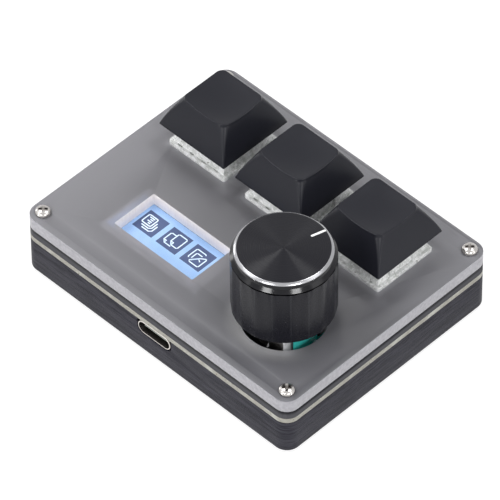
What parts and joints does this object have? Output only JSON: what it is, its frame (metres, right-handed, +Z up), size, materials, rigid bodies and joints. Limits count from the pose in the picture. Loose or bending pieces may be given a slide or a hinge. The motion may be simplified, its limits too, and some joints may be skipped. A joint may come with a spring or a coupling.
{
  "type": "macro keypad with knob",
  "caption": "Desk macro keypad: a row of dished keys on spring switches, a push-and-turn knob and a small display window in a clear plate over a black case.",
  "frame": {"origin": "centre of the footprint, on the surface that the feet stand on", "axes": "+X along the key row to the user's right, +Y away from the user to the port side, +Z up"},
  "size_m": [0.073, 0.057, 0.0352],
  "materials": {
    "case_print": "printed in layers, matt",
    "board": "pale glass-fibre edge, white mask",
    "spacer_black": "matt sheet",
    "plate_clear": "clear acrylic with a satin top",
    "screw_nickel": "nickel plated",
    "brass": "knurled",
    "foot_rubber": "matt",
    "display_glass": "lit colour display under glass",
    "display_white": "white",
    "flex_film": "amber film",
    "steel": "satin",
    "gold": "gold plated",
    "port_tongue": "moulded, natural",
    "chip_black": "moulded",
    "ceramic": "fired ceramic",
    "encoder_teal": "moulded",
    "switch_milky": "milky, translucent",
    "stem_white": "self-lubricating moulding",
    "cap_black": "fine matt moulding",
    "knob_black": "black anodised, bright turned edge",
    "hub_black": "moulded"
  },
  "bodies": {
    "base": {"bottom_case": "case_print", "main_pcb": "board", "spacer_frame": "spacer_black", "top_plate": "plate_clear", "corner_screws": "screw_nickel", "screw_inserts": "brass", "rubber_feet": "foot_rubber", "display_glass": "display_glass", "display_light_frame": "display_white", "display_flex": "flex_film", "display_tape": "display_white", "usb_shell": "screw_nickel", "usb_tongue": "port_tongue", "usb_contacts": "gold", "controller_chip": "chip_black", "regulator": "chip_black", "crystal": "steel", "resistors": "chip_black", "capacitors": "ceramic", "protection_diodes": "chip_black", "encoder_body": "encoder_teal", "encoder_cover": "steel", "encoder_bushing": "steel", "encoder_terminals": "steel", "detent_spring": "steel", "push_dome": "steel", "switch_base_1": "switch_milky", "switch_housing_1": "switch_milky", "switch_contacts_1": "gold", "switch_spring_1": "steel", "switch_base_2": "switch_milky", "switch_housing_2": "switch_milky", "switch_contacts_2": "gold", "switch_spring_2": "steel", "switch_base_3": "switch_milky", "switch_housing_3": "switch_milky", "switch_contacts_3": "gold", "switch_spring_3": "steel"},
    "key_1": {"stem_1": "stem_white", "keycap_1": "cap_black"},
    "key_2": {"stem_2": "stem_white", "keycap_2": "cap_black"},
    "key_3": {"stem_3": "stem_white", "keycap_3": "cap_black"},
    "rotor": {"encoder_rotor": "stem_white"},
    "knob": {"encoder_shaft": "steel", "knob_insert": "hub_black", "knob_shell": "knob_black"}
  },
  "joints": [
    {"name": "key_1_press", "type": "slide", "parent": "base", "child": "key_1", "axis": [0, 0, -1], "range_m": [0, 0.004], "stiffness_N_per_m": 100, "springref_m": -0.0035, "deforming": ["switch_spring_1"]},
    {"name": "key_2_press", "type": "slide", "parent": "base", "child": "key_2", "axis": [0, 0, -1], "range_m": [0, 0.004], "stiffness_N_per_m": 100, "springref_m": -0.0035, "deforming": ["switch_spring_2"]},
    {"name": "key_3_press", "type": "slide", "parent": "base", "child": "key_3", "axis": [0, 0, -1], "range_m": [0, 0.004], "stiffness_N_per_m": 100, "springref_m": -0.0035, "deforming": ["switch_spring_3"]},
    {"name": "knob_turn", "type": "hinge", "parent": "base", "child": "rotor", "pos_m": [-0.0199, 0.0123, 0.0133], "axis": [0, 0, 1], "continuous": true},
    {"name": "knob_push", "type": "slide", "parent": "rotor", "child": "knob", "axis": [0, 0, -1], "range_m": [0, 0.0005], "stiffness_N_per_m": 3000, "springref_m": -0.0004, "deforming": ["push_dome"]}
  ]
}
